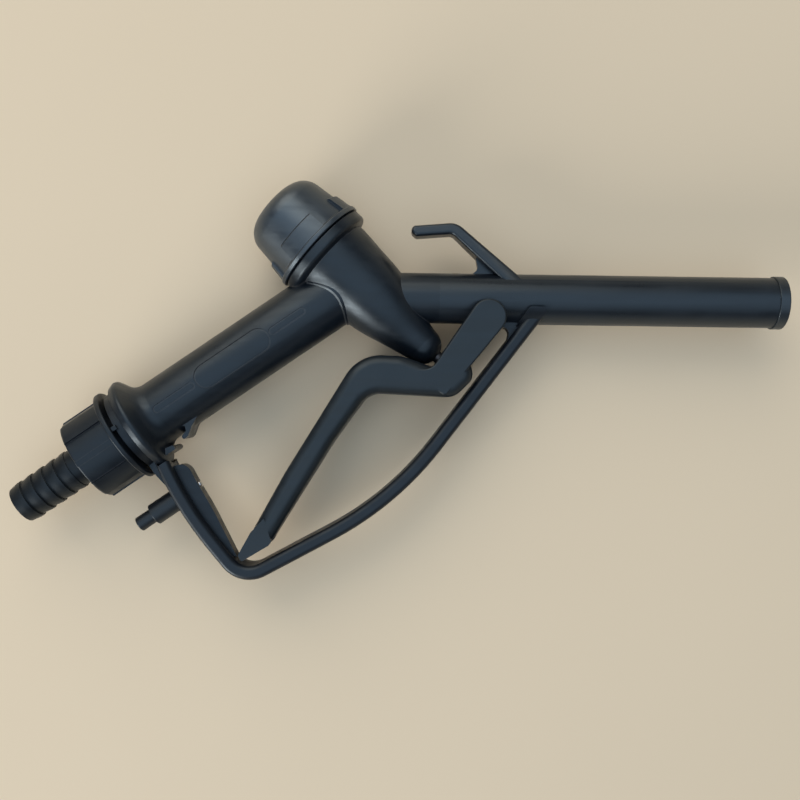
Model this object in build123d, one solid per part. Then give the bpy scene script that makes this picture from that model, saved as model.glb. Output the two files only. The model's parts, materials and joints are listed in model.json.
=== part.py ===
from build123d import *
import math
import os

# Manual fuel nozzle lying on its side, in millimetres.
# Working frame: origin at the lever pivot, +X along the spout to its mouth, +Z across the nozzle,
# z = 0 on its symmetry plane. The last step moves the origin to the middle of the base.

# ---- driving dimensions -------------------------------------------------------------------
HANDLE_ANGLE = 34.8             # grip axis, above the spout axis
HOUSING_ANGLE = -42.4           # valve axis, from the cap down to the stem
HUB = (-64.0, 20.05)            # where grip axis and valve axis meet
SPOUT_Y = 11.45                 # height of the spout axis above the lever pivot

SPOUT_R, SPOUT_BORE_R = 12.5, 10.5
SPOUT_END, SPOUT_JOINT, SPIGOT_LENGTH = 148.9, -22.0, 11.0
SPIGOT_R = 11.4
TIP_R, TIP_LENGTH, TIP_SEAT_R = 13.15, 5.0, 11.8

GRIP_R, GRIP_BORE_R = 15.8, 10.25
FLANGE_R, FLANGE_FACE = 24.0, 131.6         # bell at the grip's tail end
THREAD_R, THREAD_END = 16.6, 150.0          # 1 inch pipe thread spigot
RIB_WIDTH = 18.0                            # hooked ribs under the grip
EYE_R, EYE_LENGTH, KEY_R = 21.4, 3.8, 23.0  # guard eye behind the flange, with a key tab

NUT_START, NUT_END, NUT_WALL = 137.0, 161.0, 3.4
NUT_RIM_R, NUT_LUG_R, NUT_FACE_R, NUT_RIB_R = 24.4, 22.7, 21.3, 21.9
NUT_RIM_LENGTH = 2.6
NUT_LUGS, NUT_LUG_SPAN, NUT_RIB_SPAN, NUT_TURN = 4, 28.0, 7.0, 4.0

TAIL_R, TAIL_NECK_R, TAIL_BORE_R, TAIL_FLANGE_R = 10.25, 9.75, 7.4, 15.6
TAIL_END, BARB_START, BARB_COUNT, BARB_LAND, BARB_ROOT_R = 201.0, 168.5, 5, 1.8, 9.45
GASKET_THICKNESS = 2.0

NECK_R, CHAMBER_R = 20.0, 15.5              # cap thread neck and upper valve chamber
HOUSING_FLANGE_R = 25.1
CAP_RIM_AT, CAP_TOP_AT = -23.4, -55.8       # along the valve axis, from the hub
CAP_RIM_R, CAP_BASE_R, CAP_CROWN_R = 25.9, 23.7, 20.4
CAP_PADS, CAP_PAD_SPAN, CAP_PAD_TURN = 4, 53.0, -10.0
SEAT_AT, SEAT_LENGTH, SEAT_BORE_R = 16.0, 4.0, 10.0
LOBE_AT, LOBE_R, LOBE_SHIFT = 46.8, 9.4, -0.8

STEM_R, RUN_CLEARANCE = 3.0, 0.05
PAD_AT, PAD_GAP = 65.6, 0.15                # pad face along the valve axis, free play to the stem
PAD_LENGTH, PAD_WIDTH, PAD_THICKNESS = 7.0, 12.0, 3.0

LEVER_HALF, LEVER_TIP_HALF, LEVER_WALL = 17.0, 9.0, 3.2
CHEEK_WALL, ARM_EDGE_R, LEDGE_WIDTH = 3.9, 4.9, 11.8
PIN_R, PIN_FROM, PIN_TO, BOSS_R = 3.0, 8.0, 16.0, 5.6
PIN_POCKET_AT, PIN_POCKET_DEPTH = 14.5, 3.4

GUARD_WIDTH, GUARD_THICKNESS, GUARD_RADIUS = 20.0, 7.0, 173.0
WEB_THICKNESS, WEB_RADIUS = 8.5, 163.0
SADDLE_WALL = 1.9                           # band of the guard round the spout
SADDLE_WEB_WIDTH = 8.0
HOOK_TIP_HALF, HOOK_ROOT_HALF, GUSSET_WIDTH = 4.8, 9.5, 4.0

LATCH_OFFSET = 41.0                         # latch axis, below the grip axis
BUTTON_END, BARREL_END, PIN_TIP = 158.0, 149.0, 120.4
BUTTON_R, BARREL_R, LATCH_PIN_R = 3.75, 5.5, 1.75

GRIP_FRAME = Plane(
    origin=HUB,
    x_dir=(-math.cos(math.radians(HANDLE_ANGLE)), -math.sin(math.radians(HANDLE_ANGLE)), 0),
    z_dir=(0, 0, 1),
)
VALVE_FRAME = Plane(
    origin=HUB,
    x_dir=(math.cos(math.radians(HOUSING_ANGLE)), math.sin(math.radians(HOUSING_ANGLE)), 0),
    z_dir=(0, 0, 1),
)
SPOUT_FRAME = Plane(origin=(0, SPOUT_Y, 0), x_dir=(1, 0, 0), z_dir=(0, 0, 1))
LATCH_FRAME = GRIP_FRAME * Pos(0, LATCH_OFFSET, 0)


# ---- building blocks ----------------------------------------------------------------------
def rounded_edges(points, closed):
    """Straight runs joined by tangent arcs; each corner is (x, y, corner radius)."""
    spots = []
    for i, (x, y, radius) in enumerate(points):
        here = Vector(x, y)
        if radius == 0:
            spots.append((here, None, here))
            continue
        back = (Vector(*points[i - 1][:2]) - here).normalized()
        ahead = (Vector(*points[(i + 1) % len(points)][:2]) - here).normalized()
        half = math.radians(back.get_angle(ahead)) / 2
        reach = radius / math.tan(half)
        middle = here + (back + ahead).normalized() * (radius / math.sin(half) - radius)
        spots.append((here + back * reach, middle, here + ahead * reach))
    edges = []
    for i, (start, middle, end) in enumerate(spots):
        if middle is not None:
            edges.append(Edge.make_three_point_arc(start, middle, end))
        following = spots[(i + 1) % len(spots)][0]
        if (closed or i + 1 < len(spots)) and (following - end).length > 1e-3:
            edges.append(Edge.make_line(end, following))
    return edges


def rounded_face(points):
    """Flat face inside a closed outline of (x, y, corner radius)."""
    return Face(Wire(rounded_edges(points, closed=True)))


def plate(points, thickness):
    """Outline extruded to both sides of the symmetry plane."""
    return extrude(rounded_face(points), amount=thickness / 2, both=True)


def turned(points):
    """Outline of (position, radius, corner radius) spun about the local X axis."""
    return revolve(rounded_face(points), axis=Axis.X)


def rod(start, end, radius, inner=0.0):
    """Round bar or tube along the local X axis."""
    bar = Plane.YZ.offset(start) * extrude(Circle(radius), amount=end - start)
    if inner:
        bar -= Plane.YZ.offset(start - 1) * extrude(Circle(inner), amount=end - start + 2)
    return bar


def sector(start, end, radius, middle, span):
    """Wedge about the local X axis, its middle angle turned from +Z towards +Y."""
    low, high = math.radians(middle - span / 2), math.radians(middle + span / 2)
    reach = radius / math.cos((high - low) / 2)
    outline = Polyline(
        (0, 0),
        (reach * math.sin(low), reach * math.cos(low)),
        (reach * math.sin(high), reach * math.cos(high)),
        close=True,
    )
    return Plane.YZ.offset(start) * extrude(make_face(outline), amount=end - start)


def offset_path(path, distance):
    """Open path of (x, y, corner radius) moved sideways, to the left when positive."""
    moved = []
    for i, (x, y, radius) in enumerate(path):
        before = Vector(x, y) - Vector(*path[i - 1][:2]) if i else None
        after = Vector(*path[i + 1][:2]) - Vector(x, y) if i + 1 < len(path) else None
        before, after = (before or after).normalized(), (after or before).normalized()
        side = Vector(-before.Y - after.Y, before.X + after.X).normalized()
        stretch = distance / side.dot(Vector(-after.Y, after.X))
        turn = before.cross(after).Z
        corner = max(radius - math.copysign(distance, turn), 0) if radius else 0
        moved.append((x + side.X * stretch, y + side.Y * stretch, corner))
    return moved


def strap(path, thickness, width, edge_radius):
    """Flat strap with rounded edges, swept along an open path of (x, y, corner radius)."""
    run = Wire(rounded_edges(path, closed=False))
    section = Plane(origin=run @ 0, x_dir=(0, 0, 1), z_dir=run % 0) * RectangleRounded(
        width, thickness, edge_radius)
    return sweep(section, path=run)


def polar(radius, degrees):
    """Point at a radius and angle about the lever pivot."""
    return radius * math.cos(math.radians(degrees)), radius * math.sin(math.radians(degrees))


# ---- valve body ---------------------------------------------------------------------------
def grip_shell():
    """Grip tube, bell flange at its tail end and threaded inlet spigot."""
    bell = turned([
        (0, 0, 0), (0, GRIP_R, 0), (121.3, GRIP_R, 8.0), (127.4, FLANGE_R + 1.1, 2.2),
        (FLANGE_FACE, FLANGE_R - 0.6, 0.8), (FLANGE_FACE, THREAD_R, 0),
        (THREAD_END - 1.2, THREAD_R, 0), (THREAD_END, THREAD_R - 1.2, 0), (THREAD_END, 0, 0),
    ])
    return GRIP_FRAME * bell


def housing_shell():
    """Valve housing: flange under the cap, tapering barrel and rounded stem lobe."""
    sections = [
        (-17.0, 20.9, 0), (-6.0, 20.3, 0), (6.0, 19.2, 0), (17.0, 17.7, 0),
        (28.0, 14.8, -0.3), (38.0, 11.6, -0.8), (LOBE_AT, LOBE_R, LOBE_SHIFT),
    ]
    rings = [
        Plane(origin=(at, shift, 0), x_dir=(0, 1, 0), z_dir=(1, 0, 0)) * Circle(radius)
        for at, radius, shift in sections
    ]
    barrel = loft(Sketch() + rings)
    lobe = Pos(LOBE_AT, LOBE_SHIFT, 0) * Sphere(LOBE_R)
    flange = turned([
        (-22.9, 0, 0), (-22.9, HOUSING_FLANGE_R, 0.8), (-17.6, HOUSING_FLANGE_R, 2.2),
        (-16.0, 20.4, 0), (-16.0, 0, 0),
    ])
    neck = rod(-37.0, -20.0, NECK_R)
    return VALVE_FRAME * (barrel + lobe + flange + neck)


def junction_bead():
    """Low bead where the grip runs into the housing."""
    around_housing = turned([
        (-15.0, 0, 0), (-15.0, 21.7, 0), (6.0, 20.1, 0), (17.0, 18.6, 0), (17.0, 0, 0),
    ])
    return VALVE_FRAME * around_housing & GRIP_FRAME * rod(5.0, 40.0, GRIP_R + 0.7)


def grip_marks():
    """Engraved outlines of a plain panel and two slots on one side of the grip."""
    depth, line = 0.5, 0.75
    shell = rod(10, 125, GRIP_R + 3) - rod(9, 126, GRIP_R - depth)
    cutters = Part()
    for middle, length, width in ((39.1, 21.0, 4.2), (71.2, 42.4, 12.6), (105.1, 23.8, 4.2)):
        outline = SlotOverall(length, width) - SlotOverall(length - 2 * line, width - 2 * line)
        cutters += Pos(middle, 0, 12) * extrude(outline, amount=8)
    return shell & cutters


def holding_ribs():
    """Two hooked ribs under the grip, in grip coordinates."""
    barb = plate([
        (100.0, 12.0, 0), (112.5, 12.0, 0), (109.6, 13.6, 0.5), (110.6, 16.0, 0.8), (113.9, 17.0, 0.8),
        (114.0, 19.0, 0.8), (111.3, 18.7, 1.0), (107.0, 15.6, 3.0),
    ], RIB_WIDTH)
    lip = plate([
        (124.5, 12.5, 0), (128.2, 12.5, 0), (127.8, 20.4, 1.2), (119.6, 20.6, 1.0),
        (119.9, 18.2, 0.8), (124.0, 17.4, 0.8),
    ], RIB_WIDTH)
    return GRIP_FRAME * (barb + lip)


def valve_body():
    stub = SPOUT_FRAME * rod(-56.0, SPOUT_JOINT, SPOUT_R)
    body = grip_shell() + housing_shell() + junction_bead() + stub + holding_ribs()
    chamber = VALVE_FRAME * (
        rod(-38.0, SEAT_AT + SEAT_LENGTH, CHAMBER_R)
        + turned([(19.0, 0, 0), (19.0, 12.4, 0), (28.0, 11.2, 0), (43.0, 7.6, 2.0), (43.0, 0, 0)])
        + rod(42.0, 53.0, 6.5)
        + rod(52.0, 58.0, STEM_R + 0.4)
    )
    inlet = GRIP_FRAME * rod(5.0, 152.0, GRIP_BORE_R)
    outlet = SPOUT_FRAME * rod(-36.0, SPOUT_JOINT + 1, SPIGOT_R)
    throat_frame = Plane(origin=(-46.0, 2.6, 0), x_dir=(13.0, 7.0, 0), z_dir=(0, 0, 1))
    throat = throat_frame * rod(0.0, 15.0, 8.3)
    marks = grip_marks()
    marks += mirror(marks, about=Plane.XY)
    return body - chamber - inlet - outlet - throat - GRIP_FRAME * marks


def valve_cap():
    """Screw cap: rim, tapered skirt and domed crown, hollow below."""
    shell = turned([
        (CAP_RIM_AT, 0, 0), (CAP_RIM_AT, CAP_RIM_R, 0.5), (CAP_RIM_AT - 2.4, CAP_RIM_R, 0.9),
        (CAP_RIM_AT - 3.2, CAP_BASE_R, 0.5), (-54.5, CAP_CROWN_R, 10.5), (CAP_TOP_AT, 2.0, 1.5),
        (CAP_TOP_AT, 0, 0),
    ])
    hollow = turned([
        (CAP_RIM_AT + 1, 0, 0), (CAP_RIM_AT + 1, NECK_R, 0), (-38.6, NECK_R, 0), (-38.6, 17.0, 0),
        (-53.3, 15.6, 5.0), (-53.3, 0, 0),
    ])
    pads = Part()
    band = turned([
        (-26.0, 20.5, 0), (-26.0, 25.2, 0), (-34.6, 24.0, 0.5), (-35.8, 22.0, 0), (-35.8, 20.5, 0),
    ])
    for i in range(CAP_PADS):
        turn = CAP_PAD_TURN + i * 360 / CAP_PADS
        pads += band & sector(-41.0, -25.0, 28.0, turn, CAP_PAD_SPAN)
    return VALVE_FRAME * (shell + pads - hollow)


def cap_oring():
    return VALVE_FRAME * (Pos(-37.8, 0, 0) * Rot(0, 90, 0) * Torus(18.4, 0.8))


# ---- valve group --------------------------------------------------------------------------
def valve_seat():
    ring = turned([
        (SEAT_AT, SEAT_BORE_R, 0), (SEAT_AT, SEAT_BORE_R + 2.0, 0.4),
        (SEAT_AT + 1.0, SEAT_BORE_R + 3.2, 0.4), (SEAT_AT + 1.0, CHAMBER_R, 0),
        (SEAT_AT + SEAT_LENGTH, CHAMBER_R, 0),
        (SEAT_AT + SEAT_LENGTH, SEAT_BORE_R, 0.8),
    ])
    return VALVE_FRAME * ring


def valve_stem():
    """Push rod: thread for the nut, shoulder under the washer, domed tip on the lever's pad."""
    tip = PAD_AT - PAD_GAP
    rod_with_tip = turned([
        (4.0, 0, 0), (4.0, STEM_R, 0.4), (18.0, STEM_R, 0), (18.0, 5.0, 0), (21.0, 5.0, 0.4),
        (21.0, STEM_R, 0), (tip, STEM_R, STEM_R - 0.1), (tip, 0, 0),
    ])
    return VALVE_FRAME * rod_with_tip


def valve_poppet():
    disc = turned([
        (9.0, STEM_R, 0), (9.0, 6.4, 0.6), (11.2, 6.4, 0.6), (11.2, 11.6, 0), (9.4, 11.6, 0),
        (9.4, 13.4, 0.5), (15.7, 13.4, 0.3), (15.7, 12.6, 0), (13.7, 12.6, 0), (13.7, STEM_R, 0),
    ])
    return VALVE_FRAME * disc


def poppet_seal():
    return VALVE_FRAME * rod(13.7, 15.7, 12.5, STEM_R)


def seal_washer():
    return VALVE_FRAME * rod(15.7, 18.0, 8.0, STEM_R)


def poppet_nut():
    hexagon = Plane.YZ.offset(5.0) * extrude(RegularPolygon(5.4, 6), amount=4.0)
    return VALVE_FRAME * (hexagon - rod(4.0, 10.0, STEM_R))


def valve_spring():
    """Envelope of the return spring between poppet and cap."""
    return VALVE_FRAME * rod(-53.2, 11.1, 9.4, 7.4)


def stem_gland():
    """Guide bush with two O-ring grooves in its bore."""
    bush = rod(43.4, 52.9, 6.45, STEM_R + RUN_CLEARANCE)
    for start in (45.0, 48.6):
        bush -= rod(start, start + 1.9, 4.6)
    return VALVE_FRAME * bush


def stem_orings():
    rings = [Pos(at, 0, 0) * Rot(0, 90, 0) * Torus(3.8, 0.72) for at in (45.95, 49.55)]
    return VALVE_FRAME * (Part() + rings)


# ---- spout --------------------------------------------------------------------------------
def hook():
    """Hanging hook: curled strap on top of the spout with a gusset in its root."""
    arm = plate([
        (-36.8, 43.8, 2.0), (-35.6, 46.9, 2.0), (-14.0, 48.8, 9.0), (20.0, 19.4, 0), (11.4, 17.4, 0),
        (-16.2, 43.0, 4.0), (-34.0, 41.5, 1.8),
    ], 3 * HOOK_ROOT_HALF)
    taper = Plane.YZ * make_face(Polyline(
        (16.0, HOOK_ROOT_HALF), (50.0, HOOK_TIP_HALF), (50.0, -HOOK_TIP_HALF), (16.0, -HOOK_ROOT_HALF),
        close=True,
    ))
    arm &= extrude(taper, amount=60, both=True)
    along = [edge for edge in arm.edges() if edge.center().Y > 25.0 and abs((edge % 0.5).Z) < 0.5]
    arm = fillet(along, 1.7)
    gusset = plate([
        (14.0, 23.0, 0), (-6.5, 23.0, 0), (-3.0, 26.0, 2.5), (-4.6, 33.6, 0), (-1.0, 31.6, 0),
    ], GUSSET_WIDTH)
    return arm + gusset


def spout():
    """Spout tube with its spigot, tip seat, hook and the boss that carries the lever."""
    tube = SPOUT_FRAME * rod(SPOUT_JOINT, SPOUT_END - TIP_LENGTH, SPOUT_R)
    ends = SPOUT_FRAME * rod(SPOUT_JOINT - SPIGOT_LENGTH, SPOUT_END - 0.8, SPIGOT_R)
    ends += SPOUT_FRAME * rod(SPOUT_END - TIP_LENGTH - 1, SPOUT_END - 0.8, TIP_SEAT_R)
    boss_half = LEVER_HALF - CHEEK_WALL - 0.4
    boss = extrude(Circle(BOSS_R), amount=boss_half, both=True)
    body = tube + ends + hook() + boss
    body -= SPOUT_FRAME * rod(-60.0, 160.0, SPOUT_BORE_R)
    for side in (1, -1):
        body -= Pos(0, 0, side * (PIN_FROM + PIN_TO) / 2) * Cylinder(PIN_R, PIN_TO - PIN_FROM)
    return body


def spout_tip():
    """Hard collar pressed on the spout's mouth."""
    start = SPOUT_END - TIP_LENGTH
    collar = turned([
        (start, TIP_SEAT_R, 0), (start, TIP_R, 0.3), (SPOUT_END, TIP_R, 0.6),
        (SPOUT_END, SPOUT_BORE_R, 0.5), (SPOUT_END - 0.8, SPOUT_BORE_R, 0),
        (SPOUT_END - 0.8, TIP_SEAT_R, 0),
    ])
    return SPOUT_FRAME * collar


def pivot_pins():
    pins = [Pos(0, 0, side * (PIN_FROM + PIN_TO) / 2) * Cylinder(PIN_R, PIN_TO - PIN_FROM)
            for side in (1, -1)]
    return Part() + pins


# ---- trigger guard ------------------------------------------------------------------------
def guard_path():
    """Middle line of the strap: rear leg round the pivot, corner, bow up to the spout."""
    start, end, lead = 205.5, 220.5, 7.0
    middle = (start + end) / 2
    reach = GUARD_RADIUS / math.cos(math.radians(end - middle))
    x, y = polar(GUARD_RADIUS, start)
    back = polar(lead, start - 90.0)
    return [
        (x + back[0], y + back[1], 0), (*polar(reach, middle), GUARD_RADIUS),
        (-117.1, -129.3, 13.5), (-43.7, -89.1, 160.0), (25.5, 3.2, 0),
    ]


def guard_saddle():
    """Front end of the bow: a band round the underside of the spout and a web in its rear corner."""
    band = plate([(10.4, -11.0, 0), (21.6, 6.8, 2.2), (31.4, 6.8, 1.6), (19.2, -11.0, 0)], 40.0)
    band &= SPOUT_FRAME * rod(0.0, 60.0, SPOUT_R + SADDLE_WALL)
    web = plate([
        (7.6, 0, 0), (7.6, -2.2, 0), (13.4, -3.4, 3.5), (11.4, -10.6, 0), (15.2, -9.0, 0), (20.0, 3.0, 0),
    ], SADDLE_WEB_WIDTH)
    return band + web


def guard_leg_web():
    """Flat web on the inner side of the rear leg, which carries the latch."""
    outer = GUARD_RADIUS
    return plate([
        (*polar(WEB_RADIUS, 206.3), 5.5), (*polar(WEB_RADIUS, 209.5), 160.0),
        (*polar(WEB_RADIUS + 0.3, 215.5), 120.0), (*polar(outer - 4.0, 224.5), 0),
        (*polar(outer, 222.0), 0), (*polar(outer, 213.0), 0), (*polar(outer, 205.6), 0),
    ], WEB_THICKNESS)


def trigger_guard():
    """Guard: eye behind the bell, rear leg with its web, bow and saddle under the spout."""
    bow = strap(guard_path(), GUARD_THICKNESS, GUARD_WIDTH, 2.6)
    eye = GRIP_FRAME * rod(FLANGE_FACE, FLANGE_FACE + EYE_LENGTH, EYE_R)
    root = GRIP_FRAME * plate([
        (FLANGE_FACE - 1.0, 16.0, 0), (FLANGE_FACE + EYE_LENGTH, 16.0, 0),
        (FLANGE_FACE + EYE_LENGTH, 25.0, 3.0), (133.6, 36.0, 0), (FLANGE_FACE - 1.0, 36.0, 0),
    ], GUARD_WIDTH - 4.0)
    key = GRIP_FRAME * (rod(FLANGE_FACE + EYE_LENGTH - 1, NUT_START - 0.1, KEY_R)
                        & sector(120, 150, 30, -8.0, 7.0) & Pos(136, 0, 21) * Box(8, 8, 6))
    body = bow + guard_leg_web() + eye + root + key + guard_saddle()
    body -= GRIP_FRAME * rod(100.0, FLANGE_FACE, FLANGE_R + 0.9)
    body -= GRIP_FRAME * rod(120.0, 150.0, THREAD_R + 0.1)
    body -= SPOUT_FRAME * rod(0.0, 60.0, SPOUT_R + 0.02)
    body -= LATCH_FRAME * (rod(127.5, 150.0, 4.0) + rod(110.0, 150.0, LATCH_PIN_R + RUN_CLEARANCE))
    return body


# ---- hold-open latch ----------------------------------------------------------------------
def latch_barrel():
    """Spring housing screwed into the guard's leg, with a lip that keeps the button in."""
    barrel = turned([
        (128.5, 0, 0), (128.5, 3.95, 0.4), (133.5, 3.95, 0), (133.5, BARREL_R, 0),
        (BARREL_END, BARREL_R, 0.5), (BARREL_END, 0, 0),
    ])
    barrel -= rod(127.0, 138.0, 2.9) + rod(137.0, BARREL_END - 2.0, 4.6)
    barrel -= rod(BARREL_END - 3.0, BARREL_END + 1, BUTTON_R + RUN_CLEARANCE)
    barrel = LATCH_FRAME * barrel
    leg = extrude(Circle(GUARD_RADIUS + GUARD_THICKNESS / 2 + 0.02), amount=20, both=True)
    collar = LATCH_FRAME * (rod(120.0, 150.0, 8.0) - rod(119.0, 151.0, 3.96))
    return barrel - (leg & collar)


def latch_button():
    button = turned([
        (143.5, 0, 0), (143.5, 4.3, 0.3), (146.7, 4.3, 0.3), (146.7, BUTTON_R, 0),
        (BUTTON_END, BUTTON_R, 0.7), (BUTTON_END, 0, 0),
    ])
    return LATCH_FRAME * (button - rod(140.0, 151.0, LATCH_PIN_R))


def latch_pin():
    pin = turned([(PIN_TIP, 0, 0), (PIN_TIP, LATCH_PIN_R, 1.2), (151.0, LATCH_PIN_R, 0), (151.0, 0, 0)])
    return LATCH_FRAME * pin


def latch_spring():
    """Envelope of the small return spring round the latch pin."""
    return LATCH_FRAME * rod(127.6, 143.4, 2.8, 1.95)


# ---- lever --------------------------------------------------------------------------------
LEVER_OUTER_EDGE = [
    (-104.3, -111.8, 2.5), (-73.5, -60.8, 60.0), (-56.3, -36.4, 11.0), (-14.5, -38.1, 10.0),
    (-5.2, -28.6, 6.2), (-7.6, -16.6, 6.0),
]
ARM_OUTLINE = [
    (-24.0, -23.7, 10.0), (-40.0, -18.2, 14.0), (-61.2, -17.4, 20.0), (-97.0, -76.0, 150.0),
    (-118.1, -114.6, 0), (-106.0, -114.6, 0),
] + LEVER_OUTER_EDGE[1:]
CHEEK_OUTLINE = [
    (-0.6, 13.6, 8.5), (-25.6, -24.1, 7.0), (-42.0, -25.0, 0), (-42.0, -29.5, 0), (-27.0, -32.0, 0),
    (-19.0, -37.6, 2.0), (13.8, 3.1, 8.5),
]
FIN_OUTLINE = [
    (-106.6, -98.5, 0), (-113.1, -105.4, 0), (-119.4, -116.9, 1.4), (-117.6, -120.0, 1.0),
    (-104.3, -111.8, 1.2), (-103.0, -109.6, 0),
]
ARM_END = [
    (-93.0, -113.6, 0), (-123.6, -98.6, 0), (-150.0, -110.0, 0), (-150.0, -150.0, 0), (-100.0, -150.0, 0),
]
WALL_END = (-110.2, -116.0, 0)              # the cross wall stops here, the cheeks run on as fins


def lever_width(half, tip_half):
    """Block as wide as the lever: parallel at the fork, tapering to the tip."""
    run = Plane(origin=(0, 0, 0), x_dir=(-0.4617, -0.887, 0), z_dir=(0.887, -0.4617, 0))
    outline = [(-60, -half, 0), (58, -half, 50), (168, -tip_half, 0), (168, tip_half, 0),
               (58, half, 50), (-60, half, 0)]
    return run * extrude(rounded_face(outline), amount=250, both=True)


def lever_shell():
    """Outer form of the lever: well rounded arm, flat fork cheeks and thin fins at the tip."""
    full_width = lever_width(LEVER_HALF, LEVER_TIP_HALF)
    arm = plate(ARM_OUTLINE, 4 * LEVER_HALF) & full_width
    long_edges = [edge for edge in arm.edges() if abs((edge % 0.5).Z) < 0.5 and edge.center().Y > -113.0]
    arm = fillet(long_edges, ARM_EDGE_R)
    arm -= plate(ARM_END, 4 * LEVER_HALF)
    cheeks = plate(CHEEK_OUTLINE, 2 * LEVER_HALF)
    cheeks = fillet([edge for edge in cheeks.edges() if abs((edge % 0.5).Z) < 0.5], 1.0)
    fins = plate(FIN_OUTLINE, 4 * LEVER_HALF) & full_width
    return arm + cheeks + fins


def lever():
    """U-section lever, open towards the grip: two cheeks and a cross wall on the outer side.

    The wall steps inward near the tip, where the hold-open pin catches it, and carries a block
    for the wear pad.
    """
    shell = lever_shell()
    inner_edge = offset_path([WALL_END] + LEVER_OUTER_EDGE, LEVER_WALL)
    past_wall = offset_path([WALL_END] + LEVER_OUTER_EDGE, -LEVER_WALL)[0]
    cavity = plate(
        inner_edge[:-1]
        + [(4.0, -26.0, 0), (30.0, -10.0, 0), (30.0, 40.0, 0), (-60.0, 40.0, 0), (-140.0, -60.0, 0),
           (-140.0, -140.0, 0), (-112.0, -132.0, 0), past_wall],
        3 * LEVER_HALF,
    ) & lever_width(LEVER_HALF - CHEEK_WALL, LEVER_TIP_HALF - LEVER_WALL)
    body = shell - cavity
    seat_start = PAD_AT + PAD_THICKNESS
    body += VALVE_FRAME * (Pos(seat_start + 3.2, 0, 0) * Box(6.4, PAD_LENGTH, PAD_WIDTH + 2))
    body -= plate([
        (-101.3, -108.9, 0), (-104.8, -106.8, 0), (-113.2, -113.0, 0), (-108.0, -121.0, 0),
    ], LEDGE_WIDTH - 0.8)
    body += plate([
        (-102.4, -106.0, 0), (-104.8, -106.8, 0.5), (-112.6, -112.5, 0), (-114.3, -110.0, 0.8),
        (-108.0, -105.4, 2.0), (-102.8, -99.2, 0),
    ], LEDGE_WIDTH)
    for side in (1, -1):
        body -= Pos(0, 0, side * PIN_POCKET_AT) * Cylinder(PIN_R + RUN_CLEARANCE, PIN_POCKET_DEPTH)
    return body


def lever_pad():
    middle = PAD_AT + PAD_THICKNESS / 2
    pad = Pos(middle, 0, 0) * Box(PAD_THICKNESS, PAD_LENGTH, PAD_WIDTH)
    return VALVE_FRAME * pad


# ---- inlet --------------------------------------------------------------------------------
def union_nut():
    """Union nut: rim, four lugs, four panels with a fine rib, wall that holds the hose tail."""
    core = turned([
        (NUT_START, 0, 0), (NUT_START, NUT_RIM_R, 0.8), (NUT_START + NUT_RIM_LENGTH, NUT_RIM_R, 0.8),
        (NUT_START + NUT_RIM_LENGTH + 0.4, NUT_FACE_R, 0), (NUT_END, NUT_FACE_R, 1.0), (NUT_END, 0, 0),
    ])
    lug_band = turned([
        (NUT_START + 1, 18.0, 0), (NUT_START + 1, NUT_LUG_R, 0), (NUT_END - 0.2, NUT_LUG_R, 1.6),
        (NUT_END - 0.2, 18.0, 0),
    ])
    rib_band = turned([
        (NUT_START + 1, 18.0, 0), (NUT_START + 1, NUT_RIB_R, 0), (NUT_END - 0.2, NUT_RIB_R, 0.5),
        (NUT_END - 0.2, 18.0, 0),
    ])
    body = core
    for i in range(NUT_LUGS):
        turn = NUT_TURN + i * 360 / NUT_LUGS
        body += lug_band & sector(NUT_START, NUT_END + 1, 30.0, turn + 45.0, NUT_LUG_SPAN)
        body += rib_band & sector(NUT_START, NUT_END + 1, 30.0, turn, NUT_RIB_SPAN)
    body -= rod(NUT_START - 1, NUT_END - NUT_WALL, THREAD_R + 0.05)
    body -= rod(NUT_START, NUT_END + 1, TAIL_NECK_R + 0.15)
    return GRIP_FRAME * body


def inlet_gasket():
    return GRIP_FRAME * rod(THREAD_END, THREAD_END + GASKET_THICKNESS, 15.6, GRIP_BORE_R)


def hose_tail():
    """Hose tail: flange held by the nut, plain neck and five barbs with a short land each."""
    flange = rod(THREAD_END + GASKET_THICKNESS, NUT_END - NUT_WALL, TAIL_FLANGE_R)
    neck = rod(155.0, TAIL_END - 3.0, TAIL_NECK_R - 0.4) + rod(155.0, BARB_START, TAIL_NECK_R)
    body = flange + neck
    pitch = (TAIL_END - BARB_START) / BARB_COUNT
    for i in range(BARB_COUNT):
        start = BARB_START + i * pitch
        body += turned([
            (start, 0, 0), (start, TAIL_R, 0), (start + BARB_LAND, TAIL_R, 0),
            (start + pitch, BARB_ROOT_R, 0), (start + pitch, 0, 0),
        ])
    return GRIP_FRAME * (body - rod(140.0, 210.0, TAIL_BORE_R))


# ---- assembly -----------------------------------------------------------------------------
PARTS = {
    "valve_body": valve_body, "valve_cap": valve_cap, "cap_oring": cap_oring,
    "valve_seat": valve_seat, "valve_stem": valve_stem, "valve_poppet": valve_poppet,
    "poppet_seal": poppet_seal, "seal_washer": seal_washer, "poppet_nut": poppet_nut,
    "valve_spring": valve_spring, "stem_gland": stem_gland, "stem_orings": stem_orings,
    "spout": spout, "spout_tip": spout_tip, "pivot_pins": pivot_pins,
    "trigger_guard": trigger_guard, "latch_barrel": latch_barrel, "latch_button": latch_button,
    "latch_pin": latch_pin, "latch_spring": latch_spring,
    "lever": lever, "lever_pad": lever_pad,
    "union_nut": union_nut, "inlet_gasket": inlet_gasket, "hose_tail": hose_tail,
}

solids = {name: make() for name, make in PARTS.items()}
bounds = [shape.bounding_box() for shape in solids.values()]
low = Vector(*(min(getattr(b.min, axis) for b in bounds) for axis in "XYZ"))
high = Vector(*(max(getattr(b.max, axis) for b in bounds) for axis in "XYZ"))
SHIFT = Vector(-(low.X + high.X) / 2, -(low.Y + high.Y) / 2, -low.Z)

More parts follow.
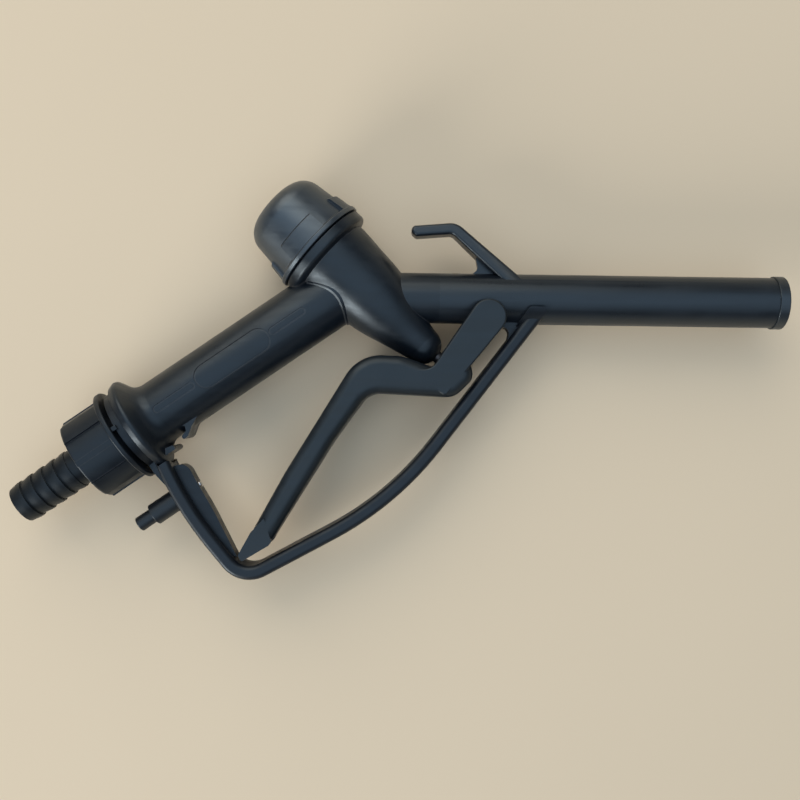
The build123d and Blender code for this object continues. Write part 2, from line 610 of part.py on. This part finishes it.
os.makedirs("parts", exist_ok=True)
for name, shape in solids.items():
    export_step(Location(SHIFT) * shape, f"parts/{name}.step")
print("size", high - low, "shift", SHIFT)
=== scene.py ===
import json
import math

import bpy
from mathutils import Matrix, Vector


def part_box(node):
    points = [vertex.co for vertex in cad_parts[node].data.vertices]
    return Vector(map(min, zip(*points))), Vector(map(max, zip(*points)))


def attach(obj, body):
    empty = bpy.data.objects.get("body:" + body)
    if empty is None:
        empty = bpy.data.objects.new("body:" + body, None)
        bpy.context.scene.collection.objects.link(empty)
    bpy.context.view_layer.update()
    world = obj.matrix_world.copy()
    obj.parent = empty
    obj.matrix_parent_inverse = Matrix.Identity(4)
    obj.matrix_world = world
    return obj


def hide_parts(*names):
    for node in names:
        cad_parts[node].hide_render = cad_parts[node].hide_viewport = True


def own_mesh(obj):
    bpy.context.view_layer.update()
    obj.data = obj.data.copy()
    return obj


# Fuel nozzle lying on its side on a pale table, seen from straight above. Metres, CAD frame.
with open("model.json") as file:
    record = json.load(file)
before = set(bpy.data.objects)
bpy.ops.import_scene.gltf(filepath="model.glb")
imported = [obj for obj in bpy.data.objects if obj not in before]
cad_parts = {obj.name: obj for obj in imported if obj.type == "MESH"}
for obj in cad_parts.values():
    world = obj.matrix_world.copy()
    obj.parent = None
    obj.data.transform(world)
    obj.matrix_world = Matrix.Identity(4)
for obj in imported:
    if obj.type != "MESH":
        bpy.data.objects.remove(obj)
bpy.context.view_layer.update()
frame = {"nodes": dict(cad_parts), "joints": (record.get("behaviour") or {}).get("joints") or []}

scene = bpy.context.scene
nodes = frame["nodes"]
joints = {j["name"]: j for j in frame["joints"]}

MM = 0.001
PIVOT = Vector(joints["lever_pivot"]["pos_m"])
MID_Z = PIVOT.z                               # symmetry plane, where the mould halves met
GRIP_TURN = -math.radians(34.8)               # turns lines to run along the grip
VALVE_TURN = math.radians(42.4)               # turns lines to run along the valve axis


# ---- node helpers -------------------------------------------------------------------------
FLAT_COSINE, EDGE_COSINE = 0.985, 0.90        # between true and rounded normal, plain to edge
CLOSED_SKY, OPEN_SKY = 0.62, 0.93             # share of open sky seen, groove to plain surface
EDGE_RAYS, SKY_RAYS = 4, 8


class Tree:
    """Small wrapper that adds and links shader nodes in one line each."""

    def __init__(self, name):
        self.material = bpy.data.materials.new(name)
        self.material.use_nodes = True
        self.tree = self.material.node_tree
        self.bsdf = self.tree.nodes["Principled BSDF"]
        self.place = self.add("ShaderNodeTexCoord").outputs["Object"]

    def add(self, kind, **settings):
        node = self.tree.nodes.new(kind)
        for key, value in settings.items():
            setattr(node, key, value)
        return node

    def link(self, source, target):
        """Link an output, or set a plain value."""
        if hasattr(source, "is_output"):
            self.tree.links.new(source, target)
        else:
            target.default_value = source

    def mapped(self, scale, rotation):
        """Place on the object, stretched so that noise of scale 1 has these cells per metre."""
        node = self.add("ShaderNodeMapping")
        node.inputs["Scale"].default_value = scale
        node.inputs["Rotation"].default_value = rotation
        self.link(self.place, node.inputs["Vector"])
        return node.outputs["Vector"]

    def noise(self, scale, detail=2.0, roughness=0.5, vector=None, distortion=0.0):
        """Noise from 0 to 1, its scale in cells per metre."""
        node = self.add("ShaderNodeTexNoise")
        node.inputs["Scale"].default_value = scale
        node.inputs["Detail"].default_value = detail
        node.inputs["Roughness"].default_value = roughness
        node.inputs["Distortion"].default_value = distortion
        self.link(vector or self.place, node.inputs["Vector"])
        return node.outputs["Fac"]

    def remap(self, value, low, high, to_low=0.0, to_high=1.0, kind="SMOOTHSTEP"):
        node = self.add("ShaderNodeMapRange", interpolation_type=kind)
        for key, number in zip(("Value", "From Min", "From Max", "To Min", "To Max"),
                               (value, low, high, to_low, to_high)):
            self.link(number, node.inputs[key])
        return node.outputs["Result"]

    def math(self, operation, a, b=0.0):
        node = self.add("ShaderNodeMath", operation=operation)
        self.link(a, node.inputs[0])
        self.link(b, node.inputs[1])
        return node.outputs["Value"]

    def mix(self, factor, a, b):
        node = self.add("ShaderNodeMix", data_type="RGBA")
        self.link(factor, node.inputs["Factor"])
        for source, name in ((a, "A"), (b, "B")):
            socket = [s for s in node.inputs if s.name == name and s.type == "RGBA"][0]
            self.link(source if hasattr(source, "is_output") else (*source, 1.0), socket)
        return [s for s in node.outputs if s.type == "RGBA"][0]

    def edges(self, radius):
        """1 on convex and concave edges, 0 on plain surface."""
        rounded = self.add("ShaderNodeBevel", samples=EDGE_RAYS)
        rounded.inputs["Radius"].default_value = radius
        dot = self.add("ShaderNodeVectorMath", operation="DOT_PRODUCT")
        self.link(rounded.outputs["Normal"], dot.inputs[0])
        self.link(self.add("ShaderNodeNewGeometry").outputs["Normal"], dot.inputs[1])
        return self.remap(dot.outputs["Value"], FLAT_COSINE, EDGE_COSINE)

    def grooves(self, reach):
        """1 in narrow grooves and inner corners, 0 on open surface."""
        node = self.add("ShaderNodeAmbientOcclusion", samples=SKY_RAYS, only_local=True)
        node.inputs["Distance"].default_value = reach
        return self.remap(node.outputs["AO"], CLOSED_SKY, OPEN_SKY, 1.0, 0.0)

    def bump(self, height, distance, strength=1.0, normal=None):
        node = self.add("ShaderNodeBump")
        node.inputs["Strength"].default_value = strength
        node.inputs["Distance"].default_value = distance
        self.link(height, node.inputs["Height"])
        if normal is not None:
            self.link(normal, node.inputs["Normal"])
        return node.outputs["Normal"]


def scaled(colour, factor, lift=0.0):
    """Colour made darker or lighter."""
    return tuple(channel * factor + lift for channel in colour)


# ---- black plastic ------------------------------------------------------------------------
BLACK_PP = (0.0055, 0.0080, 0.0120)
LATCH_PP = (0.0055, 0.0068, 0.0090)
BLUE_GLOSS = (0.76, 0.91, 1.0, 1.0)           # tint of the plastic's gloss
PLASTIC_IOR = 1.50
EDGE_REACH, GROOVE_REACH = 0.5 * MM, 1.0 * MM
GRAIN_DEPTH, PEEL_DEPTH, SCUFF_DEPTH = 0.020 * MM, 0.060 * MM, 0.03 * MM
SEAM_TOP, SEAM_FOOT, SEAM_HEIGHT = 0.06 * MM, 0.24 * MM, 0.14 * MM
SCUFF_TINT, EDGE_TINT, DUST_TINT = 0.30, 0.30, 0.35      # how far each lightens the colour
SCUFF_DULL, GRAIN_DULL = 0.16, 0.06                      # how far each dulls the gloss


def scuff_mask(t, turn):
    """Crossing hairline scratches, gathered in the patches that hands rub."""
    streaks = t.noise(1.0, 6.0, 0.62, t.mapped((70, 1500, 1500), (0, 0, turn)))
    cross = t.noise(1.0, 5.0, 0.6, t.mapped((1300, 90, 1300), (0.3, 0, turn + 0.5)))
    hairlines = t.math("MAXIMUM", t.remap(streaks, 0.66, 0.74), t.remap(cross, 0.69, 0.76))
    return t.math("MULTIPLY", hairlines, t.remap(t.noise(55.0, 4.0, 0.6), 0.50, 0.68))


def dust_mask(t):
    """Specks of dust in loose patches."""
    specks = t.remap(t.noise(3800.0, 2.0, 0.5), 0.70, 0.78)
    return t.math("MULTIPLY", specks, t.remap(t.noise(90.0, 3.0, 0.6), 0.45, 0.70))


def seam_ridge(t, normal):
    """Thin ridge along the plane where the mould halves met."""
    height = t.add("ShaderNodeSeparateXYZ")
    t.link(t.place, height.inputs["Vector"])
    away = t.math("ABSOLUTE", t.math("SUBTRACT", height.outputs["Z"], MID_Z))
    return t.bump(t.remap(away, SEAM_TOP, SEAM_FOOT, 1.0, 0.0), SEAM_HEIGHT, 0.9, normal)


def moulded_plastic(name, colour, roughness, grain=1.0, wear=1.0, seam=False, turn=0.6,
                    shine=0.5, silt=0.0):
    """Satin injection-moulded plastic: mould grain, flow marks, scuffs and handling wear.

    seam adds the ridge of the mould's parting line, turn sets the way the streaks run, shine is
    the strength of the gloss and silt is how much dust the grooves hold.
    """
    t = Tree(name)
    flow = t.noise(38.0, 3.0, 0.55, distortion=0.6)
    peel = t.noise(420.0, 2.0, 0.5)
    fine = t.noise(2600.0, 3.0, 0.6)
    scuffs = scuff_mask(t, turn)
    edge = t.math("MULTIPLY", t.edges(EDGE_REACH), t.remap(peel, 0.40, 0.62))

    light, dusty = scaled(colour, 1.8, 0.030), scaled(colour, 0.6, 0.06)
    light = tuple(min(1.0, channel) for channel in light)
    tint = t.mix(t.remap(flow, 0.3, 0.7), scaled(colour, 0.86), scaled(colour, 1.16))
    tint = t.mix(t.math("MULTIPLY", scuffs, SCUFF_TINT * wear), tint, light)
    tint = t.mix(t.math("MULTIPLY", edge, EDGE_TINT * wear), tint, light)
    tint = t.mix(t.math("MULTIPLY", dust_mask(t), DUST_TINT * wear), tint, dusty)
    if silt:
        tint = t.mix(t.math("MULTIPLY", t.grooves(GROOVE_REACH), silt), tint, dusty)
    t.link(tint, t.bsdf.inputs["Base Color"])

    lengthwise = t.noise(1.0, 3.0, 0.55, t.mapped((14, 210, 210), (0, 0, turn)))
    satin = t.remap(flow, 0.25, 0.75, roughness - 0.045, roughness + 0.055, "LINEAR")
    satin = t.math("ADD", satin, t.remap(lengthwise, 0.40, 0.62, -0.035, 0.065))
    satin = t.math("ADD", satin, t.math("MULTIPLY", scuffs, SCUFF_DULL * wear))
    satin = t.math("ADD", satin, t.math("MULTIPLY", fine, GRAIN_DULL))
    t.link(satin, t.bsdf.inputs["Roughness"])
    t.bsdf.inputs["IOR"].default_value = PLASTIC_IOR
    t.bsdf.inputs["Specular IOR Level"].default_value = shine
    t.bsdf.inputs["Specular Tint"].default_value = BLUE_GLOSS

    normal = t.bump(fine, GRAIN_DEPTH * grain, 0.55)
    normal = t.bump(peel, PEEL_DEPTH * grain, 0.35, normal)
    normal = t.bump(t.math("SUBTRACT", 1.0, scuffs), SCUFF_DEPTH * wear, 0.5, normal)
    if seam:
        normal = seam_ridge(t, normal)
    t.link(normal, t.bsdf.inputs["Normal"])
    return t.material


# ---- other materials ----------------------------------------------------------------------
RUBBER_DARK, RUBBER_BLOOM = (0.014, 0.014, 0.015), (0.045, 0.045, 0.046)
TABLE_DARK, TABLE_LIGHT = (0.67, 0.555, 0.40), (0.70, 0.58, 0.42)
RUBBER_TOOTH, TOOL_MARK_DEPTH, TABLE_TOOTH = 0.03 * MM, 0.012 * MM, 0.05 * MM


def rubber(name):
    """Soft black rubber with a talc bloom."""
    t = Tree(name)
    bloom = t.noise(300.0, 4.0, 0.6)
    t.link(t.mix(t.remap(bloom, 0.45, 0.75), RUBBER_DARK, RUBBER_BLOOM),
           t.bsdf.inputs["Base Color"])
    t.link(t.remap(bloom, 0.3, 0.7, 0.62, 0.82, "LINEAR"), t.bsdf.inputs["Roughness"])
    t.link(t.bump(t.noise(2200.0, 2.0), RUBBER_TOOTH, 0.5), t.bsdf.inputs["Normal"])
    return t.material


def turned_steel(name, colour, roughness, turn=0.0):
    """Steel with tool marks round the part and light stain."""
    t = Tree(name)
    marks = t.noise(1.0, 4.0, 0.6, t.mapped((5200, 260, 260), (0, 0, turn)))
    stain = t.noise(140.0, 4.0, 0.6)
    t.bsdf.inputs["Metallic"].default_value = 1.0
    t.link(t.mix(t.remap(stain, 0.5, 0.8), colour, scaled(colour, 0.72)),
           t.bsdf.inputs["Base Color"])
    t.link(t.remap(marks, 0.3, 0.7, roughness - 0.05, roughness + 0.10, "LINEAR"),
           t.bsdf.inputs["Roughness"])
    t.link(t.bump(marks, TOOL_MARK_DEPTH, 0.6), t.bsdf.inputs["Normal"])
    return t.material


def table_top():
    """Plain pale table top with a very faint tooth."""
    t = Tree("table_top")
    t.link(t.mix(t.noise(4.0, 3.0, 0.5), TABLE_DARK, TABLE_LIGHT), t.bsdf.inputs["Base Color"])
    t.bsdf.inputs["Roughness"].default_value = 0.85
    t.bsdf.inputs["Specular IOR Level"].default_value = 0.25
    t.link(t.bump(t.noise(1500.0, 3.0), TABLE_TOOTH, 0.25), t.bsdf.inputs["Normal"])
    return t.material


# ---- what each node is made of ------------------------------------------------------------
MOULDINGS = {                                 # node: material, colour, roughness, other settings
    "valve_body": ("pp_body", BLACK_PP, 0.31,
                   dict(wear=1.4, seam=True, turn=GRIP_TURN, shine=0.48, silt=0.55)),
    "spout": ("pp_spout", BLACK_PP, 0.30, dict(seam=True, turn=0.0, shine=0.55)),
    "spout_tip": ("pp_spout_tip", (0.0075, 0.0100, 0.0140), 0.34, dict(turn=0.0, shine=0.75)),
    "valve_cap": ("pp_cap", (0.0125, 0.0175, 0.0250), 0.34,
                  dict(turn=VALVE_TURN, shine=1.0, silt=0.25)),
    "trigger_guard": ("pp_guard", (0.0045, 0.0060, 0.0095), 0.36, dict(seam=True, shine=0.42)),
    "lever": ("pp_lever", (0.0075, 0.0105, 0.0135), 0.36,
              dict(grain=1.3, seam=True, turn=1.0, shine=0.46)),
    "union_nut": ("pp_nut", (0.0045, 0.0065, 0.0100), 0.34,
                  dict(turn=GRIP_TURN, shine=0.42, silt=0.30)),
    "hose_tail": ("pp_hose_tail", (0.0055, 0.0070, 0.0090), 0.34,
                  dict(wear=0.7, turn=GRIP_TURN, shine=0.32)),
    "latch_barrel": ("pp_latch", LATCH_PP, 0.34, dict(turn=GRIP_TURN)),
    "latch_button": ("pp_button", LATCH_PP, 0.36, dict(turn=GRIP_TURN)),
}
ACETAL, STEEL = (0.70, 0.70, 0.67), (0.34, 0.34, 0.35)
# The first of these is painted shade: the valve stem's steel is made dark so that it reads as the
# shadow it sits in between the lobe and the lever.
STEM_STEEL_PAINTED_SHADE, PIN_STEEL, SPRING_WIRE = (0.10, 0.10, 0.105), (0.70, 0.70, 0.70), (0.46, 0.46, 0.48)


def dress():
    """Give every CAD node its material."""
    looks = {
        node: moulded_plastic(name, colour, roughness, **settings)
        for node, (name, colour, roughness, settings) in MOULDINGS.items()
    }
    shared = (
        (moulded_plastic("acetal", ACETAL, 0.35, grain=0.4, wear=0.3),
         ("valve_poppet", "valve_seat", "stem_gland", "lever_pad")),
        (rubber("rubber"), ("cap_oring", "poppet_seal", "stem_orings", "inlet_gasket")),
        (turned_steel("steel", STEEL, 0.32, VALVE_TURN),
         ("seal_washer", "poppet_nut", "valve_spring", "latch_spring")),
        # valve stem: steel painted dark, a painted shade where the stem lies in shadow
        (turned_steel("stem_steel_painted_shade", STEM_STEEL_PAINTED_SHADE, 0.42, VALVE_TURN), ("valve_stem",)),
        (turned_steel("pin_steel", PIN_STEEL, 0.18, GRIP_TURN), ("pivot_pins", "latch_pin")),
    )
    for material, names in shared:
        looks.update(dict.fromkeys(names, material))
    for name, node in nodes.items():
        node.data.materials.clear()
        node.data.materials.append(looks[name])


# ---- edges --------------------------------------------------------------------------------
ROUNDED = {                                   # edge radius that each moulding shows, in millimetres
    "lever": 0.6, "trigger_guard": 0.5, "union_nut": 0.35, "hose_tail": 0.15, "valve_cap": 0.3,
    "latch_barrel": 0.2, "latch_button": 0.2, "spout_tip": 0.15, "spout": 0.3,
}
WELD_REACH = 0.005 * MM
SHARP_FROM = math.radians(38)                 # an edge sharper than this is rounded
ROUND_STEPS, FACE_WEIGHT = 3, 60


def soften(name, radius):
    """Small rounds on the crisp edges of a moulding, as modifiers that leave its mesh alone."""
    node = nodes[name]
    weld = node.modifiers.new("weld", "WELD")
    weld.merge_threshold = WELD_REACH
    bevel = node.modifiers.new("edge_round", "BEVEL")
    bevel.width = radius * MM
    bevel.segments = ROUND_STEPS
    bevel.limit_method = "ANGLE"
    bevel.angle_limit = SHARP_FROM
    bevel.miter_outer = "MITER_ARC"
    bevel.use_clamp_overlap = True
    bevel.harden_normals = False
    normals = node.modifiers.new("normals", "WEIGHTED_NORMAL")
    normals.keep_sharp = False
    normals.weight = FACE_WEIGHT


# ---- springs ------------------------------------------------------------------------------
STEPS_PER_TURN, WIRE_SIDES = 28, 10
CLOSED_TURNS = 1.2                            # turns that lie flat at each end
SPRINGS = (                                   # piece, node, joint, coil radius, wire, turns
    ("valve_spring_coil", "valve_spring", "valve_slide", 8.4, 1.7, 11.0),
    ("latch_spring_coil", "latch_spring", "latch_slide", 2.36, 0.7, 8.0),
)


def coil_line(start, end, radius, wire, turns):
    """Points on the wire's middle line, each with its direction away from the coil's axis."""
    axis = (end - start).normalized()
    across = Vector((0, 0, 1))
    side = axis.cross(across)
    length = (end - start).length
    closed = CLOSED_TURNS / turns
    steps = int(turns * STEPS_PER_TURN)
    line = []
    for i in range(steps + 1):
        share = i / steps
        rise = min(max((share - closed) / (1 - 2 * closed), 0.0), 1.0)
        along = wire * (0.5 + min(share / closed, 1.0) + max((share - 1 + closed) / closed, 0.0))
        along += (length - 3 * wire) * rise
        angle = 2 * math.pi * turns * share
        spoke = across * math.cos(angle) + side * math.sin(angle)
        line.append((start + axis * min(along, length - wire * 0.5) + spoke * radius, spoke))
    return line


def wire_mesh(name, line, axis, wire):
    """Round wire along a coil's middle line, closed at both ends."""
    points, faces = [], []
    for centre, spoke in line:
        for k in range(WIRE_SIDES):
            a = 2 * math.pi * k / WIRE_SIDES
            points.append(centre + (spoke * math.cos(a) + axis * math.sin(a)) * wire / 2)
    last = (len(line) - 1) * WIRE_SIDES
    for row in range(0, last, WIRE_SIDES):
        for k in range(WIRE_SIDES):
            a, b = row + k, row + (k + 1) % WIRE_SIDES
            faces.append((a, a + WIRE_SIDES, b + WIRE_SIDES, b))
    faces.append(tuple(range(WIRE_SIDES)))
    faces.append(tuple(last + k for k in reversed(range(WIRE_SIDES))))
    mesh = bpy.data.meshes.new(name)
    mesh.from_pydata([tuple(p) for p in points], [], faces)
    mesh.update()
    mesh.polygons.foreach_set("use_smooth", [True] * len(mesh.polygons))
    return mesh


def coil_spring(name, node, start, end, radius, wire, turns, body):
    """Helical spring with closed ends between two points, standing for its CAD envelope."""
    axis = (end - start).normalized()
    line = coil_line(start, end, radius, wire, turns)
    piece = bpy.data.objects.new(name, wire_mesh(name, line, axis, wire))
    scene.collection.objects.link(piece)
    piece.data.materials.append(turned_steel(name + "_wire", SPRING_WIRE, 0.30))
    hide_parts(node)
    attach(piece, body)
    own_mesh(piece)


def springs():
    """Both springs, placed from the boxes of the CAD envelopes they stand for."""
    for name, node, joint, radius, wire, turns in SPRINGS:
        low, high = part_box(node)
        centre = (low + high) / 2
        axis = Vector(joints[joint]["axis"]).normalized()
        outer = (high.z - low.z) / 2
        half = (abs(high.x - low.x) / 2 - outer * abs(axis.y)) / abs(axis.x)
        fixed, moving = centre + axis * half, centre - axis * half
        coil_spring(name, node, fixed, moving, radius * MM, wire * MM, turns, "nozzle")


# ---- stage --------------------------------------------------------------------------------
TABLE_SIZE = 40.0
LIGHTS = (                                    # name, place, aim, size, watts, colour
    ("key", (-0.60, 1.50, 1.25), (0, 0, 0), 2.0, 21.0, (1.0, 0.92, 0.82)),
    ("low_left", (-1.40, -1.50, 0.70), (-0.05, 0, 0), 1.1, 32.0, (1.0, 0.98, 0.96)),
)
HORIZON, ZENITH = (0.58, 0.54, 0.48), (0.92, 1.12, 1.36)
ROOM_LIGHT = (                                # height between those two, colour
    (0.12, (0.40, 0.38, 0.35)), (0.35, (0.18, 0.18, 0.18)), (0.62, (0.14, 0.15, 0.165)),
    (0.84, (0.78, 0.94, 1.12)),
)
LENS_MM, SENSOR_MM = 42.75, 36.0
EYE_FROM_PIVOT = Vector((-40.9, -39.6, 475.0)) * MM
ROLL = math.radians(0.81)


def area_light(name, place, aim, size, power, colour):
    """Round soft light turned to the point it is aimed at."""
    light = bpy.data.lights.new(name, "AREA")
    light.shape = "DISK"
    light.size = size
    light.energy = power
    light.color = colour
    lamp = bpy.data.objects.new(name, light)
    lamp.location = place
    lamp.rotation_euler = (Vector(aim) - Vector(place)).to_track_quat("-Z", "Y").to_euler()
    scene.collection.objects.link(lamp)


def room():
    """Bright pale blue overhead, a dim band below it and a pale warm horizon."""
    world = bpy.data.worlds.new("room")
    world.use_nodes = True
    tree = world.node_tree
    heading = tree.nodes.new("ShaderNodeTexCoord")
    split = tree.nodes.new("ShaderNodeSeparateXYZ")
    ramp = tree.nodes.new("ShaderNodeValToRGB")
    tree.links.new(heading.outputs["Generated"], split.inputs["Vector"])
    tree.links.new(split.outputs["Z"], ramp.inputs["Fac"])
    tree.links.new(ramp.outputs["Color"], tree.nodes["Background"].inputs["Color"])
    stops = ramp.color_ramp.elements
    stops[0].color = (*HORIZON, 1.0)
    stops[1].color = (*ZENITH, 1.0)
    for height, colour in ROOM_LIGHT:
        stops.new(height).color = (*colour, 1.0)
    tree.nodes["Background"].inputs["Strength"].default_value = 1.0
    scene.world = world


def stage():
    """Pale table, the room's light, a warm lamp at the upper left and a low one lower left."""
    bpy.ops.mesh.primitive_plane_add(size=TABLE_SIZE, location=(0, 0, 0))
    table = bpy.context.object
    table.name = "table"
    table.data.materials.append(table_top())
    room()
    for settings in LIGHTS:
        area_light(*settings)
    scene.view_settings.view_transform = "Standard"


def camera():
    """Straight down, under half a metre above the symmetry plane, rolled under a degree."""
    lens = bpy.data.cameras.new("camera")
    lens.sensor_width = SENSOR_MM
    lens.lens = LENS_MM
    eye = bpy.data.objects.new("camera", lens)
    eye.location = PIVOT + EYE_FROM_PIVOT
    eye.rotation_euler = (0.0, 0.0, ROLL)
    scene.collection.objects.link(eye)
    scene.camera = eye


camera()
dress()
for node_name, edge_radius in ROUNDED.items():
    soften(node_name, edge_radius)
springs()
stage()
